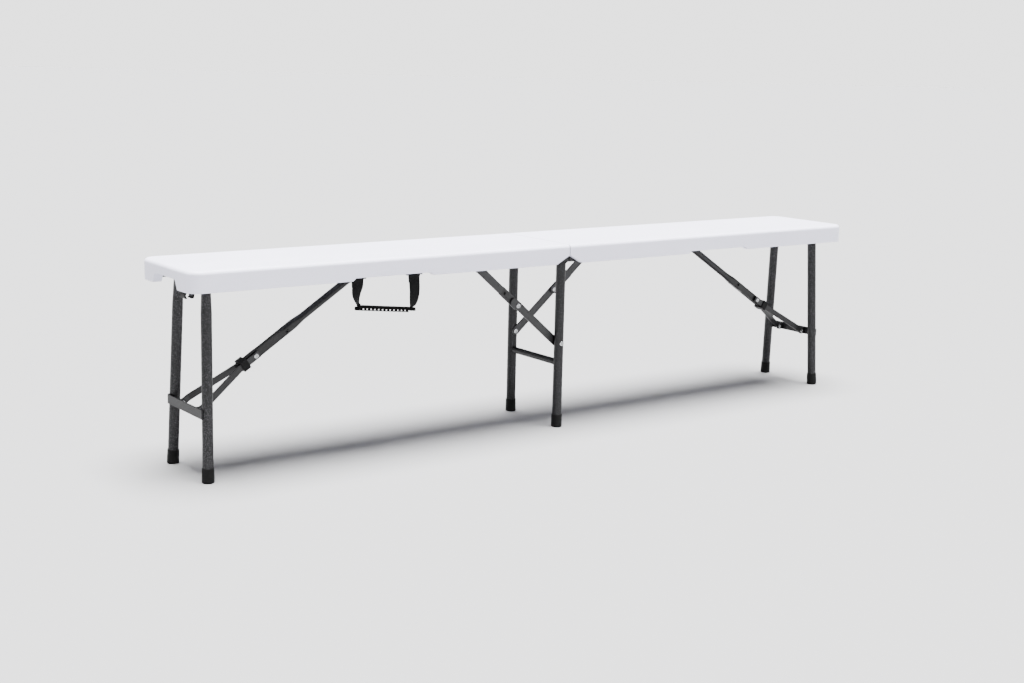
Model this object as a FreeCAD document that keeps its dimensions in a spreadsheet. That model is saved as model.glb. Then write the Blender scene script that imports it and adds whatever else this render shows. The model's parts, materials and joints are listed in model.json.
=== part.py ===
import FreeCAD, Part
import os, math
from FreeCAD import Vector, Placement, Rotation

# Folding bench: two moulded seat halves that fold down over a middle leg
# frame, an end leg frame that folds into each half, elbow braces, lock rings,
# a storage clip and a carrying handle.  Millimetres, +Z up.
# Origin: middle of the footprint on the floor.  +X along the seat, the side
# with the handle faces -Y.

doc = FreeCAD.newDocument("FoldingBench")
sheet = doc.addObject("Spreadsheet::Sheet", "Dims")

DIMS = [
    # seat half
    ("seat_end", 915.0), ("seam_gap", 0.8), ("seat_half_width", 122.5),
    ("apron_bottom", 385.0), ("seat_top", 428.0), ("ceiling", 418.0),
    ("apron_wall", 12.0), ("end_wall", 18.5), ("corner_round", 28.0),
    ("edge_round", 8.0), ("recess_round", 12.0),
    ("notch_half", 36.0), ("notch_top", 404.0),
    ("shallow_rise", 6.0), ("shallow_from", 366.0), ("shallow_to", 562.0),
    ("cut_half_low", 58.5), ("cut_half_high", 50.0), ("cut_top", 405.0),
    ("dimple_low", 11.0), ("dimple_high", 8.0), ("dimple_depth", 5.0),
    # steel side rails
    ("rail_in", 108.0), ("rail_out", 110.5), ("rail_low", 392.0),
    ("rail_high", 414.0), ("rail_from", 8.0), ("rail_to", 884.0),
    ("ear_low", 386.0), ("ear_half", 15.0),
    # centre hinge
    ("hinge_off", 19.0), ("hinge_height", 399.0), ("pin_radius", 4.0),
    ("plate_in", 105.2), ("plate_out", 107.7), ("plate_half", 30.0),
    ("plate_low", 387.0), ("plate_high", 411.0),
    # tubes
    ("leg_radius", 11.0), ("leg_wall", 1.3), ("running_gap", 0.05),
    ("mid_spread", 90.0), ("mid_leg_top", 400.0),
    ("top_tube_radius", 8.0), ("top_tube_height", 391.0),
    ("mid_bar_radius", 7.5), ("mid_bar_height", 151.5),
    ("end_foot_off", 870.0), ("end_foot_spread", 85.4),
    ("end_top_off", 858.0), ("end_top_spread", 65.0), ("end_leg_top", 390.0),
    ("end_round_len", 338.0), ("end_oval_at", 384.0), ("end_flat_to", 404.0),
    ("oval_minor", 8.4), ("oval_major", 12.9), ("flat_minor", 4.6), ("flat_major", 14.0),
    ("pivot_off", 868.0), ("pivot_height", 396.0), ("pivot_radius", 7.0),
    ("cap_low_radius", 12.75), ("cap_high_radius", 12.25), ("cap_height", 30.0),
    # end crossbar, lugs and V bars
    ("strip_out", 880.1), ("strip_in", 877.1), ("strip_half", 82.0),
    ("strip_low", 128.5), ("strip_high", 147.6),
    ("lug_off", 866.0), ("lug_height", 137.0), ("lug_in", 36.8),
    ("lug_out", 39.3), ("tab_in", 39.6), ("tab_out", 42.1),
    ("lug_pin_radius", 3.0),
    ("vbar_len", 167.344), ("vbar_in", 8.4), ("vbar_thick", 2.5),
    ("vbar_half", 7.0), ("vbar_bend", 44.0), ("vbar_spread_at", 150.0),
    # upper link of the end brace
    ("rod_off", 450.0), ("rod_height", 403.0), ("rod_radius", 6.0),
    ("link_len", 326.430), ("link_tube_radius", 8.0), ("link_tube_len", 240.0),
    ("channel_half_y", 5.5), ("channel_half_z", 8.75), ("channel_wall", 2.0),
    ("tongue", 42.0), ("link_angle", 212.5958),
    ("ring_half_y", 8.0), ("ring_half_z", 11.0), ("ring_from", 22.0),
    ("shoe_out", 13.4),
    ("ring_long", 16.0),
    # centre brace
    ("brace_pin_height", 197.5), ("brace_low_len", 143.988),
    ("brace_up_len", 137.968), ("brace_up_off", 214.5),
    ("brace_up_height", 380.5), ("brace_low_angle", 139.5317),
    ("brace_up_angle", -40.4683), ("brace_half", 9.0), ("brace_thick", 3.0),
    ("low_plane", 75.7), ("up_plane", 70.6), ("bracket_plane", 67.8),
    ("bracket_thick", 2.5), ("brace_pin_radius", 4.0), ("head_high", 1.7),
    ("head_radius", 5.6),
    # storage clip
    ("clip_bore", 7.3), ("clip_radius", 10.5), ("clip_half_y", 10.0),
    ("clip_low_height", 364.0), ("clip_mouth", 4.2), ("clip_bottom", 357.5),
    # handle
    ("handle_y", 105.6), ("handle_height", 388.0), ("handle_rod_radius", 2.0),
    ("strap_left", 542.5), ("strap_right", 405.0), ("strap_half", 13.5),
    ("strap_thick", 2.0), ("loop_outer", 4.0), ("loop_inner", 2.3),
    ("grip_long", 145.0), ("grip_half_z", 6.0), ("grip_half_y", 6.0),
    ("grip_left", 547.0), ("grip_left_height", 327.5), ("grip_right_height", 311.0),
    ("slot_gap", 0.3), ("strap_run", 4.0),
]
VAL = {}
for row, (alias, value) in enumerate(DIMS, start=1):
    sheet.set("A%d" % row, alias)
    sheet.set("B%d" % row, repr(value))
    sheet.setAlias("B%d" % row, alias)
    VAL[alias] = value
doc.recompute()


class Q:
    """A number together with the sheet expression that gives it."""

    def __init__(self, v, e):
        self.v = float(v)
        self.e = e

    def __add__(self, o):
        o = q(o)
        return Q(self.v + o.v, "(%s + %s)" % (self.e, o.e))

    def __radd__(self, o):
        return q(o) + self

    def __sub__(self, o):
        o = q(o)
        return Q(self.v - o.v, "(%s - %s)" % (self.e, o.e))

    def __rsub__(self, o):
        return q(o) - self

    def __mul__(self, o):
        o = q(o)
        return Q(self.v * o.v, "(%s * %s)" % (self.e, o.e))

    __rmul__ = __mul__

    def __neg__(self):
        return Q(-self.v, "(0 - %s)" % self.e)


def q(o):
    if isinstance(o, Q):
        return o
    o = float(o)
    return Q(o, ("%r" % o) if o >= 0 else "(0 - %r)" % -o)


def d(alias):
    return Q(VAL[alias], "Dims." + alias)


def bind(obj, prop, value):
    value = q(value)
    if "Dims." in value.e:
        obj.setExpression(prop, value.e)
    else:
        if "." not in prop:
            setattr(obj, prop, value.v)
        else:
            obj.setExpression(prop, value.e)


count = [0]


def uid(name):
    count[0] += 1
    return "%s_%03d" % (name, count[0])


def put(obj, x, y, z, rot=None):
    obj.Placement = Placement(Vector(q(x).v, q(y).v, q(z).v), rot or Rotation())
    bind(obj, "Placement.Base.x", x)
    bind(obj, "Placement.Base.y", y)
    bind(obj, "Placement.Base.z", z)


def box(x0, x1, y0, y1, z0, z1, name="block"):
    o = doc.addObject("Part::Box", uid(name))
    bind(o, "Length", q(x1) - q(x0))
    bind(o, "Width", q(y1) - q(y0))
    bind(o, "Height", q(z1) - q(z0))
    put(o, x0, y0, z0)
    return o


TO_Y = Rotation(Vector(1, 0, 0), -90)
TO_X = Rotation(Vector(0, 1, 0), 90)


def cyl_y(x, z, r, y0, y1, name="round"):
    o = doc.addObject("Part::Cylinder", uid(name))
    bind(o, "Radius", r)
    bind(o, "Height", q(y1) - q(y0))
    put(o, x, y0, z, TO_Y)
    return o


def cyl_x(y, z, r, x0, x1, name="round"):
    o = doc.addObject("Part::Cylinder", uid(name))
    bind(o, "Radius", r)
    bind(o, "Height", q(x1) - q(x0))
    put(o, x0, y, z, TO_X)
    return o


def cyl_z(x, y, r, z0, z1, name="round"):
    o = doc.addObject("Part::Cylinder", uid(name))
    bind(o, "Radius", r)
    bind(o, "Height", q(z1) - q(z0))
    put(o, x, y, z0)
    return o


def cone_z(x, y, r0, r1, z0, z1):
    o = doc.addObject("Part::Cone", uid("taper"))
    bind(o, "Radius1", r0)
    bind(o, "Radius2", r1)
    bind(o, "Height", q(z1) - q(z0))
    put(o, x, y, z0)
    return o


def fuse(*parts):
    parts = list(parts)
    if len(parts) == 1:
        return parts[0]
    o = doc.addObject("Part::MultiFuse", uid("joined"))
    o.Shapes = parts
    return o


def cut(base, *tools):
    o = doc.addObject("Part::Cut", uid("cut"))
    o.Base = base
    o.Tool = fuse(*tools)
    return o


def common(a, b):
    o = doc.addObject("Part::Common", uid("shared"))
    o.Base = a
    o.Tool = b
    return o


def group(*parts):
    o = doc.addObject("Part::Compound", uid("set"))
    o.Links = list(parts)
    return o


PLANES = {
    "XY": Rotation(),
    "XZ": Rotation(Vector(1, 0, 0), 90),
    "YZ": Rotation(Vector(1, 1, 1), 120),
}
OUT = {"XY": Vector(0, 0, 1), "XZ": Vector(0, 1, 0), "YZ": Vector(1, 0, 0)}


def prism(plane, pts, a0, a1):
    """A closed outline with every corner tied to the sheet, drawn on a plane
    and extruded across it from a0 to a1."""
    sk = doc.addObject("Sketcher::SketchObject", uid("outline"))
    sk.Placement = Placement(Vector(), PLANES[plane])
    pts = [(q(a), q(b)) for a, b in pts]
    n = len(pts)
    for i in range(n):
        a, b = pts[i], pts[(i + 1) % n]
        sk.addGeometry(Part.LineSegment(Vector(a[0].v, a[1].v, 0),
                                        Vector(b[0].v, b[1].v, 0)), False)
    import Sketcher
    for i in range(n):
        sk.addConstraint(Sketcher.Constraint("Coincident", i, 2, (i + 1) % n, 1))
    for i in range(n):
        for kind, value in (("DistanceX", pts[i][0]), ("DistanceY", pts[i][1])):
            k = sk.addConstraint(Sketcher.Constraint(kind, -1, 1, i, 1, value.v))
            if "Dims." in value.e:
                sk.setExpression("Constraints[%d]" % k, value.e)
    ex = doc.addObject("Part::Extrusion", uid("prism"))
    ex.Base = sk
    ex.DirMode = "Custom"
    ex.Dir = OUT[plane]
    ex.Solid = True
    bind(ex, "LengthFwd", q(a1) - q(a0))
    shift = OUT[plane] * q(a0).v
    ex.Placement = Placement(shift, Rotation())
    comp = {"XY": "z", "XZ": "y", "YZ": "x"}[plane]
    bind(ex, "Placement.Base." + comp, a0)
    return ex


NODES = []


def node(name, obj, place=None):
    if place is not None and any(p.startswith("Placement") or p.startswith(".Placement")
                                 for p, _ in obj.ExpressionEngine):
        obj = group(obj)
    obj.Label = name
    if place is not None:
        obj.Placement = place.multiply(obj.Placement)
    NODES.append((name, obj))
    return obj


def along(x, z, angle):
    """Placement whose local +X runs at an angle in the XZ plane."""
    return Placement(Vector(x, 0, z), Rotation(Vector(0, -1, 0), angle))


TURN = {"left": Placement(), "right": Placement(Vector(), Rotation(Vector(0, 0, 1), 180))}


def side_name(side, y_sign):
    near = (y_sign < 0) == (side == "left")
    return "near" if near else "far"


# ---------------------------------------------------------------- seat halves
def seat_half(side):
    T = TURN[side]
    E_, hw = d("seat_end"), d("seat_half_width")
    ab, st = d("apron_bottom"), d("seat_top")
    outer = box(-E_, -d("seam_gap"), -hw, hw, ab, st, "shell")
    doc.recompute()
    verts = [i + 1 for i, e in enumerate(outer.Shape.Edges)
             if abs(e.Vertexes[0].Z - e.Vertexes[-1].Z) > 5
             and e.CenterOfMass.x < -VAL["seat_end"] + 1]
    body = doc.addObject("Part::Fillet", uid("corners"))
    body.Base = outer
    body.Edges = [(i, VAL["corner_round"], VAL["corner_round"]) for i in verts]
    rec = box(-(E_ - d("end_wall")), 5, -d("rail_out"), d("rail_out"),
              ab - 5, d("ceiling"), "recess")
    doc.recompute()
    verts = [i + 1 for i, e in enumerate(rec.Shape.Edges)
             if abs(e.Vertexes[0].Z - e.Vertexes[-1].Z) > 5
             and e.CenterOfMass.x < -VAL["seat_end"] + 30]
    recf = doc.addObject("Part::Fillet", uid("recess_round"))
    recf.Base = rec
    recf.Edges = [(i, VAL["recess_round"], VAL["recess_round"]) for i in verts]
    # notch where the two halves meet
    nh, nt = d("notch_half"), d("notch_top")
    notch = prism("XZ", [(-nh - 8, ab - 5), (-nh, ab), (-d("seam_gap"), nt),
                         (5, nt), (5, ab - 5)], -130, 130)
    # shallow zone of the long aprons under the handle
    s0, s1, rise = d("shallow_from"), d("shallow_to"), d("shallow_rise")
    shallow = prism("XZ", [(-s1 - 8, ab - 5), (-s1, ab), (-s1 + 7, ab + rise),
                           (-s0 - 8, ab + rise), (-s0, ab), (-s0 + 8, ab - 5)],
                    -130, 130)
    # hand gap in the end apron
    cl, ch, ct = d("cut_half_low"), d("cut_half_high"), d("cut_top")
    gap = prism("YZ", [(-cl - 3, ab - 5), (-cl, ab), (-ch, ct - 3),
                       (-ch + 4, ct), (ch - 4, ct), (ch, ct - 3), (cl, ab),
                       (cl + 3, ab - 5)], -d("seat_end") - 10,
                -d("seat_end") + d("end_wall") + 6)
    # blind hollows of the double wall, seen from below
    dim = doc.addObject("Part::Feature", uid("dimples"))
    r0 = sheet.get("dimple_low")
    r1 = sheet.get("dimple_high")
    dep = sheet.get("dimple_depth")
    ceil = sheet.get("ceiling")
    cones = []
    for i in range(16):
        for j in range(4):
            x = -58.0 - i * 52.0
            y = -78.0 + j * 52.0
            cones.append(Part.makeCone(r0, r1, dep + 1.0, Vector(x, y, ceil - 1.0)))
    dim.Shape = Part.makeCompound(cones)
    shell = cut(body, recf, notch, shallow, gap)
    shell2 = doc.addObject("Part::Cut", uid("underside"))
    shell2.Base = shell
    shell2.Tool = dim
    doc.recompute()
    top = [i + 1 for i, e in enumerate(shell2.Shape.Edges)
           if min(v.Z for v in e.Vertexes) > VAL["seat_top"] - 0.01
           and e.CenterOfMass.z > VAL["seat_top"] - 0.01
           and e.CenterOfMass.x < -VAL["seam_gap"] - 0.5]
    soft = doc.addObject("Part::Fillet", uid("top_round"))
    soft.Base = shell2
    soft.Edges = [(i, VAL["edge_round"], VAL["edge_round"]) for i in top]
    node(side + "_seat_half", soft, T)

    # side rails: an angle of sheet steel along each long apron
    for sgn in (-1, 1):
        y0 = d("rail_in") if sgn > 0 else -d("rail_out")
        y1 = d("rail_out") if sgn > 0 else -d("rail_in")
        web = box(-d("rail_to"), -d("rail_from"), y0, y1, d("rail_low"), d("rail_high"), "rail")
        ear = box(-d("pivot_off") - d("ear_half"), -d("pivot_off") + d("ear_half"),
                  y0, y1, d("ear_low"), d("rail_low") + 2, "ear")
        fl0 = d("rail_in") - 8 if sgn > 0 else -d("rail_in")
        fl1 = d("rail_in") if sgn > 0 else -d("rail_in") + 8
        # narrow top flange, left out where the folded legs and hinge pass
        flange = box(-d("rod_off") + 30, -d("rail_from") - 60, fl0, fl1,
                     d("rail_high") - 2, d("rail_high"), "flange")
        holes = [cyl_y(-d("pivot_off"), d("pivot_height"), d("pivot_radius") + d("running_gap"), -130, 130),
                 cyl_y(-d("rod_off"), d("rod_height"), d("rod_radius"), -130, 130),
                 cyl_y(-d("hinge_off"), d("hinge_height"), d("pin_radius") + d("running_gap"), -130, 130)]
        node("%s_rail_%s" % (side, side_name(side, sgn)),
             cut(fuse(web, ear, flange), *holes), T)
    # screws that hold the rails to the aprons
    heads = []
    for x in (100.0, 330.0, 600.0, 800.0):
        for sgn in (-1, 1):
            y0, y1 = (-108.0, -106.6) if sgn < 0 else (106.6, 108.0)
            heads.append(cyl_y(-x, 403.0, 3.6, y0, y1, "screw"))
    node(side + "_rail_screws", group(*heads), T)
    # cross rod that carries the end brace
    node(side + "_brace_rod",
         cyl_y(-d("rod_off"), d("rod_height"), d("rod_radius"), -d("rail_out"), d("rail_out"), "rod"), T)
    # bracket and pin for the centre brace, on the side of the brace
    bp, bt = d("bracket_plane"), d("bracket_thick")
    ux, uz = d("brace_up_off"), d("brace_up_height")
    ear = fuse(box(-ux - 12, -ux + 12, -bp - bt, -bp, uz, d("ceiling"), "ear"),
               cyl_y(-ux, uz, 9.0, -bp - bt, -bp),
               box(-ux - 12, -ux + 12, -bp, -bp + 24, d("ceiling") - 2, d("ceiling"), "foot"))
    hole = cyl_y(-ux, uz, d("brace_pin_radius"), -90, -50)
    node(side + "_centre_brace_bracket", cut(ear, hole), T)
    pin = fuse(cyl_y(-ux, uz, d("brace_pin_radius"), -d("up_plane") - d("brace_thick"), -bp),
               cyl_y(-ux, uz, d("head_radius"), -bp, -bp + d("head_high")))
    node(side + "_centre_brace_pin", pin, T)


for side in ("left", "right"):
    seat_half(side)

# storage clip: holds the pivot tube of the other half when folded
px_, pz_, lz = -d("pivot_off"), d("pivot_height"), d("clip_low_height")
cr, cb, cy = d("clip_radius"), d("clip_bore"), d("clip_half_y")
clip = fuse(cyl_y(px_, lz, cr, -cy, cy), cyl_y(px_, pz_, cr, -cy, cy),
            box(px_ - 6, px_ + 6, -cy, cy, lz, pz_, "waist"),
            box(px_ - cr, px_ + cr, -cy, cy, pz_, d("ceiling"), "neck"),
            box(px_ - cr - 6, px_ + cr + 6, -cy, cy, d("ceiling") - 3, d("ceiling"), "base"))
clip = cut(clip, cyl_y(px_, lz, cb, -20, 20), cyl_y(px_, pz_, cb, -20, 20),
           box(px_ - d("clip_mouth"), px_ + d("clip_mouth"), -20, 20, lz - 20, lz),
           box(px_ - 20, px_ + 20, -20, 20, lz - 20, d("clip_bottom")))
node("storage_clip", clip)

# handle anchors: a rod on two ears under the near rail, one for each strap end
anchors = []
for xc in ("strap_left", "strap_right"):
    c = -d(xc)
    hy, hz = -d("handle_y"), d("handle_height")
    anchors.append(fuse(
        cyl_x(hy, hz, d("handle_rod_radius"), c - 19, c + 19),
        box(c - 19, c - 16.5, -d("rail_in"), hy + 3, hz - 2.2, hz + 12, "ear"),
        box(c + 16.5, c + 19, -d("rail_in"), hy + 3, hz - 2.2, hz + 12, "ear")))
node("handle_anchors", group(*anchors))

# ---------------------------------------------------------------- middle frame
plates = []
for sgn, nm in ((-1, "near"), (1, "far")):
    y = d("mid_spread") * sgn
    r = d("leg_radius")
    leg = cut(cyl_z(0, y, r, 3, d("mid_leg_top"), "tube"),
              cyl_z(0, y, r - d("leg_wall"), 2, d("mid_leg_top") + 1),
              cyl_y(0, d("top_tube_height"), d("top_tube_radius"), -130, 130),
              cyl_y(0, d("brace_pin_height"), d("brace_pin_radius"), -130, 130))
    node("centre_leg_" + nm, leg)
    y0, y1 = (d("plate_in"), d("plate_out")) if sgn > 0 else (-d("plate_out"), -d("plate_in"))
    plate = cut(box(-d("plate_half"), d("plate_half"), y0, y1, d("plate_low"), d("plate_high"), "plate"),
                cyl_y(-d("hinge_off"), d("hinge_height"), d("pin_radius"), -130, 130),
                cyl_y(d("hinge_off"), d("hinge_height"), d("pin_radius"), -130, 130))
    plates.append(plate)

node("hinge_plates", group(*plates))
bar = cut(cyl_y(0, d("mid_bar_height"), d("mid_bar_radius"), -d("mid_spread"), d("mid_spread"), "tube"),
          cyl_y(0, d("mid_bar_height"), d("mid_bar_radius") - 1.2, -100, 100),
          cyl_z(0, d("mid_spread"), d("leg_radius"), 100, 200),
          cyl_z(0, -d("mid_spread"), d("leg_radius"), 100, 200))
node("centre_crossbar", bar)
node("centre_top_tube", cut(
    cyl_y(0, d("top_tube_height"), d("top_tube_radius"), -d("plate_in"), d("plate_in"), "tube"),
    cyl_y(0, d("top_tube_height"), d("top_tube_radius") - 1.5, -120, 120)))
pins = []
for sx in (-1, 1):
    for sy in (-1, 1):
        x = d("hinge_off") * sx
        lo, hi = d("plate_in") - 2, d("rail_out") - 0.1
        hd0, hd1 = d("plate_in") - 2, d("plate_in")
        if sy < 0:
            pins.append(fuse(cyl_y(x, d("hinge_height"), d("pin_radius"), -hi, -hd1),
                             cyl_y(x, d("hinge_height"), 6.5, -hd1, -hd0)))
        else:
            pins.append(fuse(cyl_y(x, d("hinge_height"), d("pin_radius"), hd1, hi),
                             cyl_y(x, d("hinge_height"), 6.5, hd0, hd1)))
node("hinge_pins", group(*pins))
# rivets through the middle legs that carry the lower links
riv = []
for sy in (-1, 1):
    inner = d("low_plane")
    outer = d("mid_spread") + d("leg_radius")
    zz = d("brace_pin_height")
    hh, hr = d("head_high"), d("head_radius")
    if sy < 0:
        riv.append(fuse(cyl_y(0, zz, d("brace_pin_radius"), -outer, -inner),
                        cyl_y(0, zz, hr, -outer - hh, -outer),
                        cyl_y(0, zz, hr, -inner, -inner + hh)))
    else:
        riv.append(fuse(cyl_y(0, zz, d("brace_pin_radius"), inner, outer),
                        cyl_y(0, zz, hr, outer, outer + hh),
                        cyl_y(0, zz, hr, inner - hh, inner)))
node("centre_leg_rivets", group(*riv))


def foot_cap(x, y, place):
    """A moulded cap over a tube end, tapered, with a round blind socket."""
    cap = cut(cone_z(0, 0, d("cap_low_radius"), d("cap_high_radius"), -2, d("cap_height")),
              cyl_z(0, 0, d("leg_radius"), 3, d("cap_height") + 5))
    cap.Placement = place
    floor = box(x - 30, x + 30, y - 30, y + 30, -10, 0, "floor")
    return cut(cap, floor)


caps = []
for sgn in (-1, 1):
    y = VAL["mid_spread"] * sgn
    caps.append(foot_cap(0.0, y, Placement(Vector(0, y, 0), Rotation())))
node("centre_foot_caps", group(*caps))


# ---------------------------------------------------------------- end frames
def end_frame(side):
    T = TURN[side]
    caps = []
    for sgn in (-1, 1):
        foot = Vector(-VAL["end_foot_off"], VAL["end_foot_spread"] * sgn, 0)
        top = Vector(-VAL["end_top_off"], VAL["end_top_spread"] * sgn, VAL["end_leg_top"])
        axis = top - foot
        rot = Rotation(Vector(0, 0, 1), axis)
        place = Placement(foot, rot)
        r = d("leg_radius")
        tube = cut(cyl_z(0, 0, r, 3, d("end_round_len"), "tube"),
                   cyl_z(0, 0, r - d("leg_wall"), 2, d("end_round_len") - 2))
        c0 = doc.addObject("Part::Circle", uid("ring"))
        bind(c0, "Radius", r)
        put(c0, 0, 0, d("end_round_len"))
        ovals = []
        for minor, major, at in (("oval_minor", "oval_major", "end_oval_at"),
                                 ("oval_minor", "oval_major", "end_oval_at"),
                                 ("flat_minor", "flat_major", "end_flat_to")):
            oval = doc.addObject("Part::Ellipse", uid("oval"))
            bind(oval, "MajorRadius", d(major))
            bind(oval, "MinorRadius", d(minor))
            put(oval, 0, 0, d(at), Rotation(Vector(0, 0, 1), 90))
            ovals.append(oval)
        lo = doc.addObject("Part::Loft", uid("swage"))
        lo.Sections = [c0, ovals[0]]
        lo.Solid = True
        lo.Ruled = True
        ex = doc.addObject("Part::Loft", uid("swage"))
        ex.Sections = [ovals[1], ovals[2]]
        ex.Solid = True
        ex.Ruled = True
        leg = fuse(tube, lo, ex)
        leg.Placement = place
        # the squeezed top is coped to sit on the pivot tube
        leg = cut(leg, cyl_y(-d("pivot_off"), d("pivot_height"), d("pivot_radius"), -125, 125))
        node("%s_end_leg_%s" % (side, side_name(side, sgn)), leg, T)
        caps.append(foot_cap(foot.x, foot.y, place))
    node(side + "_end_foot_caps", group(*caps), T)
    po, ph, pr = d("pivot_off"), d("pivot_height"), d("pivot_radius")
    node(side + "_end_pivot_tube", cut(
        cyl_y(-po, ph, pr, -d("rail_out") + 0.1, d("rail_out") - 0.1, "tube"),
        cyl_y(-po, ph, pr - 1.4, -120, 120)), T)
    node(side + "_end_crossbar",
         box(-d("strip_out"), -d("strip_in"), -d("strip_half"), d("strip_half"),
             d("strip_low"), d("strip_high"), "strip"), T)
    lugs, rivs = [], []
    lo_, lh = d("lug_off"), d("lug_height")
    for sgn in (-1, 1):
        a, b = (d("lug_in"), d("lug_out")) if sgn > 0 else (-d("lug_out"), -d("lug_in"))
        lugs.append(cut(fuse(box(-d("strip_in"), -lo_, a, b, lh - 7.5, lh + 7.5, "lug"),
                             cyl_y(-lo_, lh, 7.5, a, b)),
                        cyl_y(-lo_, lh, d("lug_pin_radius"), -60, 60)))
        a0, a1 = d("lug_in"), d("tab_out")
        hh = 1.5
        if sgn > 0:
            rivs.append(fuse(cyl_y(-lo_, lh, d("lug_pin_radius"), a0, a1),
                             cyl_y(-lo_, lh, 4.8, a0 - hh, a0),
                             cyl_y(-lo_, lh, 4.8, a1 + 0.2, a1 + hh + 0.2),
                             cyl_y(-lo_, lh, d("lug_pin_radius"), a1, a1 + 0.2)))
        else:
            rivs.append(fuse(cyl_y(-lo_, lh, d("lug_pin_radius"), -a1, -a0),
                             cyl_y(-lo_, lh, 4.8, -a0, -a0 + hh),
                             cyl_y(-lo_, lh, 4.8, -a1 - hh - 0.2, -a1 - 0.2),
                             cyl_y(-lo_, lh, d("lug_pin_radius"), -a1 - 0.2, -a1)))
    node(side + "_crossbar_lugs", group(*lugs), T)
    node(side + "_crossbar_rivets", group(*rivs), T)


for side in ("left", "right"):
    end_frame(side)


# ---------------------------------------------------------------- end braces
def end_brace(side):
    T = TURN[side]
    L = VAL["link_len"]
    ang = VAL["link_angle"]
    U = along(-VAL["rod_off"], VAL["rod_height"], ang)
    cy, cz, cw = d("channel_half_y"), d("channel_half_z"), d("channel_wall")
    Lq, tq = d("link_len"), d("link_tube_len")
    eye = cyl_y(0, 0, 9.0, -9, 9, "eye")
    tube = cyl_x(0, 0, d("link_tube_radius"), 7, tq, "tube")
    tube_in = cyl_x(0, 0, d("link_tube_radius") - 1.4, 12, tq - 14)
    block = box(tq - 12, Lq + d("tongue"), -cy, cy, -cz, cz, "channel")
    hollow = box(tq + 4, Lq + d("tongue") + 5, -cy + cw, cy - cw, -cz + cw, cz + 3)
    bush = cyl_y(Lq, 0, 7.0, -d("ring_half_y"), d("ring_half_y"), "bush")
    link = cut(fuse(cut(fuse(eye, tube, block), tube_in, hollow), bush),
               cyl_y(0, 0, d("rod_radius") + d("running_gap"), -20, 20),
               cyl_y(Lq - 85, 0, 3.6, -20, 20))
    node(side + "_end_brace_link", link, T.multiply(U))
    ry, rz = d("ring_half_y"), d("ring_half_z")
    r0 = Lq + d("ring_from")
    ring = cut(box(r0, r0 + d("ring_long"), -ry, ry, -rz, rz, "ring"),
               box(r0 - 2, r0 + d("ring_long") + 2, -cy - 0.15, cy + 0.15, -cz - 0.15, cz + 0.15))
    node(side + "_lock_ring", ring, T.multiply(U))
    # the two lower bars, spread in a V from the elbow to the crossbar lugs
    E = U.multiply(Placement(Vector(L, 0, 0), Rotation()))
    V, th, vh = d("vbar_in"), d("vbar_thick"), d("vbar_half")
    bend, far_ = d("vbar_bend"), d("vbar_spread_at")
    ti, to_, vl = d("tab_in"), d("tab_out"), d("vbar_len")
    rivs, shoes = [], []
    for sgn in (-1, 1):
        pts = [(-9, V), (bend, V), (far_, ti), (vl, ti), (vl, to_),
               (far_ - 0.36, to_), (bend - 0.36, V + th), (-9, V + th)]
        pts = [(a, (b if sgn > 0 else -q(b))) for a, b in pts]
        bar = prism("XY", pts, -vh, vh)
        e0, e1 = (V, V + th) if sgn > 0 else (-(V + th), -V)
        t0, t1 = (ti, to_) if sgn > 0 else (-to_, -ti)
        vb = cut(fuse(bar, cyl_y(vl, 0, 8.0, t0, t1)),
                 cyl_y(0, 0, d("lug_pin_radius"), -60, 60),
                 cyl_y(vl, 0, d("lug_pin_radius") + d("running_gap"), -60, 60))
        node("%s_v_bar_%s" % (side, side_name(side, sgn)), vb, T.multiply(E))
        s0, s1 = d("ring_from"), d("ring_from") + d("ring_long")
        so = d("shoe_out")
        a0, a1 = (V, so) if sgn > 0 else (-so, -V)
        shoes.append(cut(box(s0, s1, a0, a1, -d("ring_half_z"), d("ring_half_z"), "shoe"),
                         box(s0 - 2, s1 + 2, e0, e1, -vh, vh)))
        if sgn > 0:
            rivs.append(fuse(cyl_y(0, 0, d("lug_pin_radius"), V, V + th),
                             cyl_y(0, 0, 5.2, V + th, V + th + 1.6)))
        else:
            rivs.append(fuse(cyl_y(0, 0, d("lug_pin_radius"), -(V + th), -V),
                             cyl_y(0, 0, 5.2, -(V + th) - 1.6, -(V + th))))
    node(side + "_elbow_rivets", group(*rivs), T.multiply(E))
    node(side + "_lock_shoes", group(*shoes), T.multiply(E))


for side in ("left", "right"):
    end_brace(side)


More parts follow.
